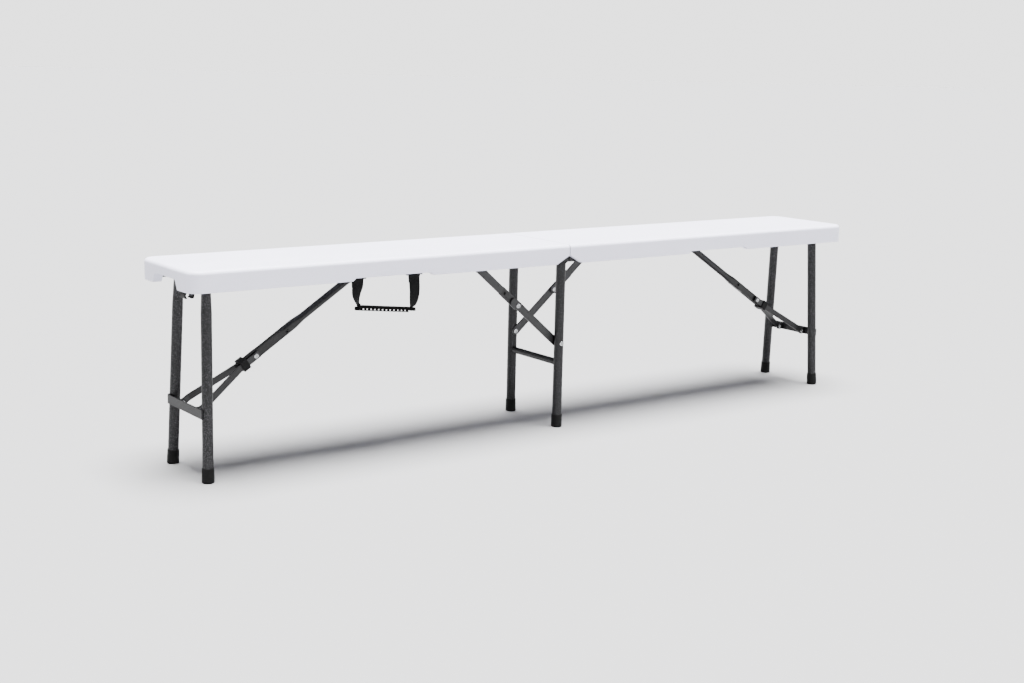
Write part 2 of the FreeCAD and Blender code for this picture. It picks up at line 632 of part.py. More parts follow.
# ---------------------------------------------------------------- centre braces
def centre_brace(side):
    T = TURN[side]
    lp, up, bt = d("low_plane"), d("up_plane"), d("brace_thick")
    bh, ll, ul = d("brace_half"), d("brace_low_len"), d("brace_up_len")
    B = along(0.0, VAL["brace_pin_height"], VAL["brace_low_angle"])
    low = cut(fuse(box(0, ll + 14, -lp - bt, -lp, -bh, bh, "bar"),
                   cyl_y(0, 0, bh, -lp - bt, -lp),
                   cyl_y(ll + 14, 0, bh, -lp - bt, -lp)),
              cyl_y(0, 0, d("brace_pin_radius") + d("running_gap"), -130, 0),
              cyl_y(ll, 0, d("brace_pin_radius"), -130, 0))
    node(side + "_centre_brace_lower", low, T.multiply(B))
    E = B.multiply(Placement(Vector(VAL["brace_low_len"], 0, 0), Rotation()))
    pin = fuse(cyl_y(0, 0, d("brace_pin_radius"), -lp - bt, -lp),
               cyl_y(0, 0, d("head_radius"), -lp - bt - d("head_high"), -lp - bt),
               cyl_y(0, 0, 7.0, -lp, -lp + 1.8))
    node(side + "_centre_elbow_rivet_outer", pin, T.multiply(E))
    U = along(-VAL["brace_up_off"], VAL["brace_up_height"], VAL["brace_up_angle"])
    upl = cut(fuse(box(-14, ul, -up - bt, -up, -bh, bh, "bar"),
                   cyl_y(ul, 0, bh + 1, -up - bt, -up),
                   box(ul - 58, ul, -up - bt, -up, -bh - 1, bh + 1, "pad")),
              cyl_y(0, 0, d("brace_pin_radius") + d("running_gap"), -130, 0),
              cyl_y(ul - 47, 0, 3.4, -130, -up - 0.6),
              cyl_y(ul, 0, d("brace_pin_radius"), -130, 0))
    node(side + "_centre_brace_upper", upl, T.multiply(U))
    E2 = U.multiply(Placement(Vector(VAL["brace_up_len"], 0, 0), Rotation()))
    pin2 = fuse(cyl_y(0, 0, d("brace_pin_radius"), -up - bt, -up),
                cyl_y(0, 0, d("head_radius"), -up, -up + d("head_high")))
    node(side + "_centre_elbow_rivet_inner", pin2, T.multiply(E2))


for side in ("left", "right"):
    centre_brace(side)

# ---------------------------------------------------------------- handle
hy, hz = -d("handle_y"), d("handle_height")
st_, sh = d("strap_thick"), d("strap_half")
cl, cr_ = -d("strap_left"), -d("strap_right")
gx0, gz0, gz1 = -d("grip_left"), d("grip_left_height"), d("grip_right_height")
glong, ghz, ghy, gap_ = d("grip_long"), d("grip_half_z"), d("grip_half_y"), d("slot_gap")
run = d("strap_run")
gdz = gz1 - gz0
# webbing: hangs from the left rod, runs through the grip, up to the right rod
legs = prism("XZ", [
    (cl - sh, hz - 2), (cl - sh + 0.6, 354), (cl - sh + 6, 341), (cl - 4.5, gz0 + 1),
    (cl - 1, gz0 - run), (cl + 130, gz1 + 2 - run), (cr_ + 2, gz1 + 0.5 - run),
    (cr_ + 6, gz1 + 6), (cr_ + sh - 2, 333), (cr_ + sh + 0.8, 361), (cr_ + sh, hz - 2),
    (cr_ - sh, hz - 2), (cr_ - sh + 1.5, 354), (cr_ - sh + 2.6, gz1 + 1.5 + run),
    (cl + 10, gz0 - 1 + run), (cl + 1.5, gz0 + 8), (cl + 5.5, 352), (cl + 9.5, 372),
    (cl + sh, hz - 2)], hy - 0.5 * st_, hy + 0.5 * st_)
loops = [cut(cyl_x(hy, hz, d("loop_outer"), c - sh, c + sh),
             cyl_x(hy, hz, d("loop_inner"), c - sh - 2, c + sh + 2)) for c in (cl, cr_)]
bores = [cyl_x(hy, hz, d("loop_inner"), c - sh - 2, c + sh + 2) for c in (cl, cr_)]
node("handle_strap", cut(fuse(legs, *loops), *bores))
tilt = math.degrees(math.atan2((VAL["grip_right_height"] - VAL["grip_left_height"]), VAL["grip_long"]))
bar = fuse(box(0, glong, -ghy, ghy, -ghz + 4, ghz, "grip"),
           cyl_x(0, -ghz + ghy, ghy, 0, glong))
slot = fuse(box(-1, glong + 1, -0.5 * st_ - gap_, 0.5 * st_ + gap_, -run - gap_ - 0.8, run + gap_ + 0.6),
            box(-1, 17, -0.5 * st_ - gap_, 0.5 * st_ + gap_, 0, 12),
            box(glong - 20, glong + 1, -0.5 * st_ - gap_, 0.5 * st_ + gap_, 0, 12))
grip = cut(bar, slot)
grip.Placement = Placement(Vector(-VAL["grip_left"], -VAL["handle_y"], VAL["grip_left_height"]),
                           Rotation(Vector(0, -1, 0), tilt))
node("handle_grip", grip)

# ---------------------------------------------------------------- check and write
doc.recompute()
bad = []
for o in doc.Objects:
    if "Invalid" in o.State or "Error" in o.State:
        bad.append(o.Name + " " + str(o.State))
for name, obj in NODES:
    s = obj.Shape
    if s.isNull() or not s.isValid() or not s.Solids:
        bad.append(name + " has no valid shape")
if len(set(n for n, _ in NODES)) != len(NODES) or len(NODES) > 60:
    bad.append("node names")
if bad:
    raise RuntimeError("; ".join(bad))

os.makedirs("parts", exist_ok=True)
for name, obj in NODES:
    obj.Shape.exportStep("parts/%s.step" % name)
    bb = obj.Shape.BoundBox
    print("%-34s n=%d v=%9.1f  x %8.1f %8.1f  y %7.1f %7.1f  z %6.1f %6.1f" % (
        name, len(obj.Shape.Solids), obj.Shape.Volume,
        bb.XMin, bb.XMax, bb.YMin, bb.YMax, bb.ZMin, bb.ZMax))
print(len(NODES), "nodes")
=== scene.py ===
import bpy, bmesh, json, math, random
from mathutils import Vector, Matrix


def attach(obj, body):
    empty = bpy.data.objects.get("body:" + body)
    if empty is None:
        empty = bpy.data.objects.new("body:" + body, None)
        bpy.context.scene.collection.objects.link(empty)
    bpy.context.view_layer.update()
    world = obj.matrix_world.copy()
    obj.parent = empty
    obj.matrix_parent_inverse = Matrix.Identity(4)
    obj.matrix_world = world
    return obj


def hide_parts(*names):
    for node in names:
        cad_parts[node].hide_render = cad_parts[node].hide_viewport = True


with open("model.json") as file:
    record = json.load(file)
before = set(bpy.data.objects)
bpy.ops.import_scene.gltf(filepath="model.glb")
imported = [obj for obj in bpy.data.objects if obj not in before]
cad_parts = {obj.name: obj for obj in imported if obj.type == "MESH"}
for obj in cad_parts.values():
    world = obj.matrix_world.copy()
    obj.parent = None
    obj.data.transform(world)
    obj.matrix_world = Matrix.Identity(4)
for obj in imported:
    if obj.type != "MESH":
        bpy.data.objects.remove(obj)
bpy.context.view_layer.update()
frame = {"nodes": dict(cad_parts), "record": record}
nodes = frame["nodes"]
MM = 0.001

# ------------------------------------------------------------------ camera
cam_data = bpy.data.cameras.new("view")
cam = bpy.data.objects.new("view", cam_data)
bpy.context.scene.collection.objects.link(cam)
yaw, pitch, roll = math.radians(36.525), math.radians(11.056), math.radians(1.304)
d = Vector((math.sin(yaw) * math.cos(pitch), math.cos(yaw) * math.cos(pitch), -math.sin(pitch)))
r = Vector((math.cos(yaw), -math.sin(yaw), 0.0))
u = r.cross(d)
r2 = math.cos(roll) * r + math.sin(roll) * u
u2 = -math.sin(roll) * r + math.cos(roll) * u
m = Matrix((r2, u2, -d)).transposed().to_4x4()
m.translation = Vector((-2.04265, -2.66763, 0.84026))
cam.matrix_world = m
cam_data.sensor_width = 36.0
cam_data.lens = 1457.06 / 1024.0 * 36.0
cam_data.clip_start, cam_data.clip_end = 0.05, 60.0
cam_data.dof.use_dof = False
bpy.context.scene.camera = cam


# --------------------------------------------------------------- materials
class Mat:
    """A node material with the usual pieces at hand."""

    def __init__(self, name):
        self.m = bpy.data.materials.new(name)
        self.m.use_nodes = True
        self.t = self.m.node_tree
        self.b = self.t.nodes["Principled BSDF"]
        self.co = self.t.nodes.new("ShaderNodeTexCoord").outputs["Object"]

    def link(self, a, b):
        self.t.links.new(a, b)

    def noise(self, scale, detail=3.0, rough=0.55, stretch=None):
        n = self.t.nodes.new("ShaderNodeTexNoise")
        n.inputs["Scale"].default_value = scale
        n.inputs["Detail"].default_value = detail
        n.inputs["Roughness"].default_value = rough
        src = self.co
        if stretch:
            mp = self.t.nodes.new("ShaderNodeMapping")
            mp.inputs["Scale"].default_value = stretch
            self.link(self.co, mp.inputs["Vector"])
            src = mp.outputs["Vector"]
        self.link(src, n.inputs["Vector"])
        return n.outputs["Fac"]

    def cells(self, scale, feature="F1"):
        n = self.t.nodes.new("ShaderNodeTexVoronoi")
        n.feature = feature
        n.inputs["Scale"].default_value = scale
        self.link(self.co, n.inputs["Vector"])
        return n.outputs["Distance"]

    def ramp(self, fac, stops):
        n = self.t.nodes.new("ShaderNodeValToRGB")
        e = n.color_ramp.elements
        while len(e) < len(stops):
            e.new(0.5)
        for el, (p, c) in zip(e, stops):
            el.position = p
            el.color = (c, c, c, 1) if isinstance(c, float) else (*c, 1)
        self.link(fac, n.inputs["Fac"])
        return n.outputs["Color"]

    def mix(self, a, b, fac, how="MIX"):
        n = self.t.nodes.new("ShaderNodeMix")
        n.data_type = "RGBA"
        n.blend_type = how
        if isinstance(fac, float):
            n.inputs[0].default_value = fac
        else:
            self.link(fac, n.inputs[0])
        for sock, v in ((n.inputs[6], a), (n.inputs[7], b)):
            if isinstance(v, tuple):
                sock.default_value = (*v, 1)
            else:
                self.link(v, sock)
        return n.outputs[2]

    def math(self, op, a, b=0.0, c=0.0):
        n = self.t.nodes.new("ShaderNodeMath")
        n.operation = op
        for i, v in enumerate((a, b, c)):
            if isinstance(v, float):
                n.inputs[i].default_value = v
            else:
                self.link(v, n.inputs[i])
        return n.outputs[0]

    def bump(self, heights, round_r=None):
        """Chained bumps: [(height, strength, distance in metres), ...] over softened edges."""
        last = None
        if round_r:
            bv = self.t.nodes.new("ShaderNodeBevel")
            bv.samples = 4
            bv.inputs["Radius"].default_value = round_r
            last = bv.outputs["Normal"]
        for h, s, dist in heights:
            n = self.t.nodes.new("ShaderNodeBump")
            n.inputs["Strength"].default_value = s
            n.inputs["Distance"].default_value = dist
            self.link(h, n.inputs["Height"])
            if last is not None:
                self.link(last, n.inputs["Normal"])
            last = n.outputs["Normal"]
        self.link(last, self.b.inputs["Normal"])

    def edges(self, lo=0.52, hi=0.60):
        g = self.t.nodes.new("ShaderNodeNewGeometry")
        return self.ramp(g.outputs["Pointiness"], [(lo, 0.0), (hi, 1.0)])

    def painted_crevice_shade(self, dist, level, lo=0.15, hi=0.75, rim=0.0):
        """Painted shade: darkens the colour and the shine where surfaces close in on each other, as shade would; rim
        takes gloss off the grazing edge, as an orange-peel paint does."""
        ao = self.t.nodes.new("ShaderNodeAmbientOcclusion")
        ao.samples = 8
        ao.inputs["Distance"].default_value = dist
        f = self.ramp(ao.outputs["AO"], [(lo, 0.0), (hi, 1.0)])
        src = self.b.inputs["Base Color"]
        col = src.links[0].from_socket
        # Painted shade: the colour goes to near-black where ambient occlusion finds nearby surfaces.
        out = self.mix((0.0004, 0.0004, 0.0005), col, f)
        self.link(out, src)
        sep = self.t.nodes.new("ShaderNodeRGBToBW")
        self.link(f, sep.inputs[0])
        spec = self.math("MULTIPLY", sep.outputs[0], level)
        if rim:
            lw = self.t.nodes.new("ShaderNodeLayerWeight")
            lw.inputs["Blend"].default_value = 0.5
            fall = self.math("MULTIPLY", self.math("POWER", lw.outputs["Facing"], 1.6), rim)
            spec = self.math("MULTIPLY", spec, self.math("SUBTRACT", 1.0, fall))
        self.b.inputs["Specular IOR Level"].default_value = level
        self.link(spec, self.b.inputs["Specular IOR Level"])

    def put(self, **kw):
        for k, v in kw.items():
            sock = self.b.inputs[k.replace("_", " ")]
            if isinstance(v, (int, float)):
                sock.default_value = v
            elif isinstance(v, tuple):
                sock.default_value = (*v, 1)
            else:
                self.link(v, sock)


def white_plastic():
    k = Mat("white_plastic")
    big = k.ramp(k.noise(2.3, 4.0), [(0.30, (0.728, 0.724, 0.858)), (0.72, (0.770, 0.766, 0.895))])
    flow = k.ramp(k.noise(7.0, 3.0, stretch=(0.25, 1.6, 1.0)), [(0.35, (0.965, 0.967, 0.972)), (0.75, (1.0, 1.0, 1.0))])
    col = k.mix(big, flow, 1.0, "MULTIPLY")
    speck = k.ramp(k.noise(420.0, 2.0), [(0.30, (0.960, 0.960, 0.965)), (0.50, (1.0, 1.0, 1.0))])
    col = k.mix(col, speck, 1.0, "MULTIPLY")
    # Painted shade: concave creases are darkened toward grey; the noise here varies that painted shade and also lays a
    # faint grey dirt tint.
    dirt_and_crease_shade_noise = k.ramp(k.noise(16.0, 6.0), [(0.58, 0.0), (0.80, 1.0)])
    g = k.t.nodes.new("ShaderNodeNewGeometry")
    crease_shade_mask = k.ramp(g.outputs["Pointiness"], [(0.40, 1.0), (0.485, 0.0)])
    col = k.mix(col, (0.56, 0.56, 0.575), k.math("MULTIPLY", k.math("MULTIPLY", crease_shade_mask, 0.55), k.math("ADD", dirt_and_crease_shade_noise, 0.35)))
    col = k.mix(col, (0.70, 0.70, 0.71), k.math("MULTIPLY", dirt_and_crease_shade_noise, 0.05))
    # Painted shade: ambient occlusion darkens the colour in the seam and other narrow gaps.
    ao = k.t.nodes.new("ShaderNodeAmbientOcclusion")
    ao.samples = 8
    ao.inputs["Distance"].default_value = 0.012
    shade = k.ramp(ao.outputs["AO"], [(0.06, (0.06, 0.06, 0.065)), (0.50, (1.0, 1.0, 1.0))])
    col = k.mix(col, shade, 1.0, "MULTIPLY")
    rough = k.ramp(k.noise(55.0, 5.0), [(0.25, 0.36), (0.80, 0.52)])
    k.put(Base_Color=col, Roughness=rough)
    k.b.inputs["Specular IOR Level"].default_value = 0.40
    k.bump([(k.noise(9.0, 2.0, stretch=(0.4, 1.0, 1.0)), 0.10, 0.0016),
            (k.noise(330.0, 3.0), 0.18, 0.00022),
            (k.cells(620.0), 0.14, 0.00016)], 0.0016)
    return k.m


def hammertone(name, dark=(0.0012, 0.0012, 0.0015), light=(0.058, 0.058, 0.0630), grain=1.0):
    """Stove-dried hammer paint: small flat craters with lighter rims over a dark ground."""
    k = Mat(name)
    cell = k.cells(450.0 * grain)
    rim = k.cells(450.0 * grain, "DISTANCE_TO_EDGE")
    mott = k.noise(480.0 * grain, 2.5, 0.6)
    f = k.math("ADD", k.math("MULTIPLY", k.math("SUBTRACT", 1.0, cell), 0.30), k.math("MULTIPLY", mott, 0.95))
    mid = tuple(0.80 * a + 0.20 * b for a, b in zip(dark, light))
    col = k.ramp(f, [(0.48, dark), (0.66, mid), (0.84, light)])
    big = k.ramp(k.noise(26.0, 3.0), [(0.30, (0.86, 0.86, 0.86)), (0.75, (1.12, 1.12, 1.12))])
    col = k.mix(col, big, 1.0, "MULTIPLY")
    k.put(Base_Color=col, Roughness=k.ramp(mott, [(0.25, 0.30), (0.80, 0.50)]), Metallic=0.0)
    # Painted shade in crevices of the hammer paint.
    k.painted_crevice_shade(0.006, 0.23, rim=1.0)
    k.bump([(rim, 0.20, 0.00025), (f, 0.34, 0.0003), (k.noise(60.0, 2.0), 0.08, 0.0008)], 0.0007)
    return k.m


def satin_steel(name, base=0.0050):
    """Smooth dark paint on the pressed links: drawing lines along the metal, and convex edges lightened as a painted
    highlight.
    """
    k = Mat(name)
    n = k.noise(140.0, 4.0)
    col = k.ramp(n, [(0.3, (base * 0.85, base * 0.85, base * 0.90)), (0.8, (base * 1.7, base * 1.7, base * 1.82))])
    # Painted highlight: convex edges are lightened toward grey, as if they caught the light.
    col = k.mix(col, (0.060, 0.060, 0.063), k.math("MULTIPLY", k.edges(0.53, 0.63), 0.40))
    k.put(Base_Color=col, Roughness=k.ramp(n, [(0.25, 0.24), (0.80, 0.40)]))
    # Painted shade in crevices of the link paint.
    k.painted_crevice_shade(0.007, 0.26, rim=1.0)
    k.bump([(k.noise(620.0, 1.5), 0.14, 0.00016), (k.noise(45.0, 1.0), 0.10, 0.0008)], 0.0007)
    return k.m


def zinc():
    k = Mat("zinc_fasteners")
    scr = k.noise(420.0, 4.0, stretch=(1.0, 0.3, 1.0))
    col = k.ramp(k.noise(260.0, 4.0), [(0.3, (0.26, 0.265, 0.27)), (0.75, (0.50, 0.505, 0.51))])
    k.put(Base_Color=col, Roughness=k.ramp(scr, [(0.25, 0.16), (0.8, 0.34)]), Metallic=0.95)
    # Painted shade: ambient occlusion darkens the colour round the heads and in small gaps.
    ao = k.t.nodes.new("ShaderNodeAmbientOcclusion")
    ao.samples = 8
    ao.inputs["Distance"].default_value = 0.0022
    shade = k.ramp(ao.outputs["AO"], [(0.25, (0.10, 0.10, 0.105)), (0.85, (1.0, 1.0, 1.0))])
    k.put(Base_Color=k.mix(col, shade, 1.0, "MULTIPLY"))
    k.bump([(scr, 0.22, 0.0001)], 0.0004)
    return k.m


def black(name, base=0.0105, rough=(0.36, 0.55), grain=520.0, wear=0.35, shine=0.13):
    k = Mat(name)
    n = k.noise(60.0, 5.0)
    col = k.ramp(n, [(0.3, (base * 0.8, base * 0.8, base * 0.86)), (0.8, (base * 1.9, base * 1.9, base * 2.0))])
    dust = k.ramp(k.noise(34.0, 7.0), [(0.55, 0.0), (0.78, 1.0)])
    col = k.mix(col, (0.060, 0.059, 0.057), k.math("MULTIPLY", dust, 0.05))
    col = k.mix(col, (0.045, 0.045, 0.047), k.math("MULTIPLY", k.edges(), wear))
    k.put(Base_Color=col, Roughness=k.ramp(k.noise(140.0, 4.0), [(0.25, rough[0]), (0.8, rough[1])]))
    # Painted shade in crevices of the black parts.
    k.painted_crevice_shade(0.005, shine, rim=0.6)
    k.bump([(k.noise(grain, 3.0), 0.25, 0.0002), (k.cells(grain * 1.8), 0.12, 0.0001)], 0.0009)
    return k.m


def webbing():
    """Plain-woven webbing: ribs across the strap and yarns along it, in UV space."""
    k = Mat("webbing")
    uv = k.t.nodes.new("ShaderNodeTexCoord").outputs["UV"]
    sep = k.t.nodes.new("ShaderNodeSeparateXYZ")
    k.link(uv, sep.inputs[0])
    a = k.math("SINE", k.math("MULTIPLY", sep.outputs["X"], 2 * math.pi * 16.0))
    b = k.math("SINE", k.math("MULTIPLY", sep.outputs["Y"], 2 * math.pi * 1.0))
    weave = k.math("MULTIPLY", a, b)
    h = k.math("ADD", k.math("MULTIPLY", weave, 0.5), 0.5)
    fibre = k.noise(1500.0, 3.0)
    hh = k.math("ADD", k.math("MULTIPLY", h, 0.8), k.math("MULTIPLY", fibre, 0.4))
    col = k.ramp(hh, [(0.2, (0.0007, 0.0007, 0.0009)), (0.95, (0.0042, 0.0042, 0.0050))])
    fade = k.ramp(k.noise(45.0, 4.0), [(0.4, (0.85, 0.85, 0.85)), (0.8, (1.25, 1.25, 1.25))])
    col = k.mix(col, fade, 1.0, "MULTIPLY")
    k.put(Base_Color=col, Roughness=k.ramp(fibre, [(0.2, 0.72), (0.8, 0.92)]))
    k.b.inputs["Sheen Weight"].default_value = 0.03
    k.b.inputs["Sheen Roughness"].default_value = 0.45
    k.b.inputs["Specular IOR Level"].default_value = 0.12
    k.bump([(h, 0.7, 0.0004), (fibre, 0.25, 0.00015)])
    return k.m


M = {
    "white_plastic": white_plastic(),
    "grey_steel": hammertone("grey_steel"),
    "zinc_fasteners": zinc(),
    "black_caps": black("black_caps", 0.0017, (0.38, 0.55), 480.0, 0.22),
    "black_plastic": black("black_plastic", 0.0008, (0.34, 0.50), 640.0, 0.12, 0.08),
    "black_grip": black("black_grip", 0.0006, (0.32, 0.50), 420.0, 0.12, 0.04),
    "webbing": webbing(),
}
slots = {s["node"]: s["material_slot"] for s in frame["record"]["subparts"]}
strip_mat = hammertone("grey_steel_strip", (0.0050, 0.0050, 0.0058), (0.0180, 0.0180, 0.0200))
mid_mat = hammertone("grey_steel_mid", (0.0042, 0.0042, 0.0048), (0.0290, 0.0290, 0.0320))
link_mat = satin_steel("grey_steel_link")
LINKS = ("_end_brace_link", "_v_bar_near", "_v_bar_far", "_centre_brace_lower", "_centre_brace_upper")


def dress(obj, mat):
    if not obj.material_slots:
        obj.data.materials.append(mat)
    for s in obj.material_slots:
        s.link = "OBJECT"
        s.material = mat


for name, obj in nodes.items():
    mat = M[slots[name]]
    if name.endswith("_end_crossbar"):
        mat = strip_mat
    if name in ("centre_leg_near", "centre_leg_far", "centre_crossbar"):
        mat = mid_mat
    if name.endswith(LINKS):
        mat = link_mat
    dress(obj, mat)


# ----------------------------------------------------------- mesh helpers
def new_piece(name, bm, mat, body, smooth=True):
    me = bpy.data.meshes.new(name)
    bmesh.ops.recalc_face_normals(bm, faces=bm.faces[:])
    bm.to_mesh(me)
    bm.free()
    for p in me.polygons:
        p.use_smooth = smooth
    o = bpy.data.objects.new(name, me)
    bpy.context.scene.collection.objects.link(o)
    me.materials.append(mat)
    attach(o, body)
    return o


def lathe(bm, centre, axis, profile, n=32):
    """Turns a profile [(radius, height), ...] round an axis; closes it on the axis."""
    axis = Vector(axis).normalized()
    a = axis.orthogonal().normalized()
    b = axis.cross(a)
    rings = []
    for rad, h in profile:
        c = Vector(centre) + axis * h
        if rad < 1e-7:
            rings.append([bm.verts.new(c)])
        else:
            rings.append([bm.verts.new(c + (a * math.cos(2 * math.pi * i / n) + b * math.sin(2 * math.pi * i / n)) * rad)
                          for i in range(n)])
    for p, q in zip(rings, rings[1:]):
        for i in range(n):
            j = (i + 1) % n
            if len(p) == 1 and len(q) > 1:
                bm.faces.new((p[0], q[j], q[i]))
            elif len(q) == 1 and len(p) > 1:
                bm.faces.new((p[i], p[j], q[0]))
            elif len(p) > 1:
                bm.faces.new((p[i], p[j], q[j], q[i]))


def dome_profile(rad, low, high, dimple=True):
    """A pan-shaped rivet head from its seat up, with the shallow ring a riveting tool leaves."""
    pts = [(0.0, low), (rad * 0.90, low), (rad, low + 0.12 * (high - low)), (rad * 1.0, low + 0.30 * (high - low))]
    for i in range(1, 7):
        t = i / 7.0 * math.pi / 2
        pts.append((rad * (1 - 0.44 * (1 - math.cos(t))), low + (0.30 + 0.62 * math.sin(t)) * (high - low)))
    if dimple:
        pts += [(rad * 0.50, high), (rad * 0.44, high - 0.10 * (high - low)),
                (rad * 0.36, high - 0.55 * (high - low)), (rad * 0.16, high - 0.62 * (high - low))]
    pts.append((0.0, high - (0.62 if dimple else 0.0) * (high - low)))
    return pts


def lp(side, x, y, z):
    k = 1 if side == "left" else -1
    return Vector((k * x * MM, k * y * MM, z * MM))


def along(side, ux, uz, deg, x, y, z):
    """A point given in the brace's own frame."""
    a = math.radians(deg)
    return lp(side, ux + x * math.cos(a) - z * math.sin(a), y, uz + x * math.sin(a) + z * math.cos(a))


# ------------------------------------------------------------- rivet heads
def heads(name, items, body, replaced):
    """Pan heads for a rivet node: items are (centre, outward, radius, height, shank length)."""
    bm = bmesh.new()
    for c, ax, rad, h, back in items:
        lathe(bm, c, ax, [(p * MM, q * MM) for p, q in dome_profile(rad, 0.0, h)])
        lathe(bm, c, ax, [(0.0, -back * MM), (rad * 0.68 * MM, -back * MM), (rad * 0.68 * MM, 0.0), (0.0, 0.0)], 24)
    o = new_piece(name, bm, M["zinc_fasteners"], body)
    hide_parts(*replaced)
    return o


for s in ("left", "right"):
    k = 1 if s == "left" else -1
    yo, yi = Vector((0, -k, 0)), Vector((0, k, 0))
    # elbow of the end brace
    E = (-450 + 326.43 * math.cos(math.radians(212.5958)), 403 + 326.43 * math.sin(math.radians(212.5958)))
    heads(s + "_elbow_rivet_heads", [(lp(s, E[0], -10.9, E[1]), yo, 5.2, 1.6, 2.5),
                                     (lp(s, E[0], 10.9, E[1]), yi, 5.2, 1.6, 2.5)], s + "_v_bars", [s + "_elbow_rivets"])
    heads(s + "_crossbar_rivet_heads",
          [(lp(s, -866, -36.8, 137), yi, 4.8, 1.5, 5.5), (lp(s, -866, 36.8, 137), yo, 4.8, 1.5, 5.5),
           (lp(s, -866, -42.3, 137), yo, 4.8, 1.5, 0.4), (lp(s, -866, 42.3, 137), yi, 4.8, 1.5, 0.4)],
          s + "_end_frame", [s + "_crossbar_rivets"])
    E2 = (143.988 * math.cos(math.radians(139.5317)), 197.5 + 143.988 * math.sin(math.radians(139.5317)))
    bm = bmesh.new()
    lathe(bm, lp(s, E2[0], -78.7, E2[1]), yo, [(p * MM, q * MM) for p, q in dome_profile(5.6, 0.0, 1.7)])
    lathe(bm, lp(s, E2[0], -75.7, E2[1]), yi, [(0, -2.9 * MM), (3.95 * MM, -2.9 * MM), (3.95 * MM, 0), (6.6 * MM, 0.0),
                                               (7.0 * MM, 0.3 * MM), (7.0 * MM, 1.5 * MM), (6.6 * MM, 1.8 * MM), (0, 1.8 * MM)])
    o = new_piece(s + "_centre_elbow_head_outer", bm, M["zinc_fasteners"], s + "_brace_lower")
    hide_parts(s + "_centre_elbow_rivet_outer")
    heads(s + "_centre_elbow_head_inner", [(lp(s, E2[0], -70.6, E2[1]), yi, 5.6, 1.7, 3.0)], s + "_brace_upper",
          [s + "_centre_elbow_rivet_inner"])
    heads(s + "_bracket_pin_head", [(lp(s, -214.5, -67.8, 380.5), yi, 5.6, 1.7, 5.8)], s + "_half",
          [s + "_centre_brace_pin"])
    # rail screws: pan heads
    items = []
    for x in (100.0, 330.0, 600.0, 800.0):
        items.append((lp(s, -x, -108.0, 403.0), yi, 3.6, 1.4, 0.0))
        items.append((lp(s, -x, 108.0, 403.0), yo, 3.6, 1.4, 0.0))
    bm = bmesh.new()
    for c, ax, rad, h, _ in items:
        lathe(bm, c, ax, [(p * MM, q * MM) for p, q in dome_profile(rad, 0.0, h)], 20)
    o = new_piece(s + "_rail_screw_heads", bm, M["zinc_fasteners"], s + "_half")
    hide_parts(s + "_rail_screws")

items = []
for sy in (-1, 1):
    out = Vector((0, sy, 0))
    items.append((Vector((0, sy * 0.101, 0.1975)), out, 5.6, 1.7, 25.3 - 0.3))
    items.append((Vector((0, sy * 0.0757, 0.1975)), -out, 5.6, 1.7, 0.0))
heads("centre_leg_rivet_heads", [(c, a, r_, h, max(b, 0.2)) for c, a, r_, h, b in items], "centre_frame", ["centre_leg_rivets"])


# --------------------------------------------------------------- welds
def weld(name, pts, normals, body, rad=0.0016, seed=1):
    """A bead of weld along points, with the ripple of its passes."""
    rnd = random.Random(seed)
    bm = bmesh.new()
    rings = []
    n = 8
    for i, p in enumerate(pts):
        t = (pts[min(i + 1, len(pts) - 1)] - pts[max(i - 1, 0)]).normalized()
        a = (normals[i] - t * normals[i].dot(t)).normalized()
        b = t.cross(a)
        rr = rad * (0.86 + 0.22 * abs(math.sin(i * 1.25)) + 0.06 * rnd.random())
        if i in (0, len(pts) - 1):
            rr *= 0.35
        rings.append([bm.verts.new(p + (a * math.cos(2 * math.pi * j / n) + b * math.sin(2 * math.pi * j / n)) * rr)
                      for j in range(n)])
    for p, q in zip(rings, rings[1:]):
        for j in range(n):
            bm.faces.new((p[j], p[(j + 1) % n], q[(j + 1) % n], q[j]))
    bm.faces.new(rings[0][::-1])
    bm.faces.new(rings[-1])
    return new_piece(name, bm, M["grey_steel"], body)


# middle crossbar to the legs
for sy, nm in ((-1, "near"), (1, "far")):
    pts, nor = [], []
    for i in range(49):
        a = 2 * math.pi * i / 48
        x, dz = 7.5 * math.cos(a), 7.5 * math.sin(a)
        y = 90 - math.sqrt(11.0 ** 2 - x * x)
        pts.append(Vector((x * MM * 1.04, sy * (y - 0.4) * MM, (151.5 + dz * 1.04) * MM)))
        nor.append(Vector((math.cos(a), -sy * 0.6, math.sin(a))))
    weld("weld_centre_bar_" + nm, pts, nor, "centre_frame", 0.0012, 3 if sy < 0 else 4)


# strip to the end legs
for s in ("left", "right"):
    for sy in (-1, 1):
        for z_ in (128.3, 147.8):
            pts, nor = [], []
            for i in range(11):
                y_ = 72.5 + 9.0 * i / 10.0
                pts.append(lp(s, -877.4, sy * y_, z_))
                nor.append(Vector((0, 0, 1 if z_ > 138 else -1)))
            weld("weld_%s_strip_%d_%d" % (s, sy, int(z_)), pts, nor, s + "_end_frame", 0.0013, int(z_) + sy)

# --------------------------------------------- swage between tube and channel
ANG = 212.5958


def superring(bm, place, s_, hy_, hz_, e_, n=40):
    ring = []
    for j in range(n):
        a_ = 2 * math.pi * (j + 0.5) / n
        ca, sa = math.cos(a_), math.sin(a_)
        ring.append(bm.verts.new(place(s_, hy_ * math.copysign(abs(ca) ** e_, ca), hz_ * math.copysign(abs(sa) ** e_, sa))))
    return ring


def smooth(t_):
    t_ = max(0.0, min(1.0, t_))
    return t_ * t_ * (3 - 2 * t_)


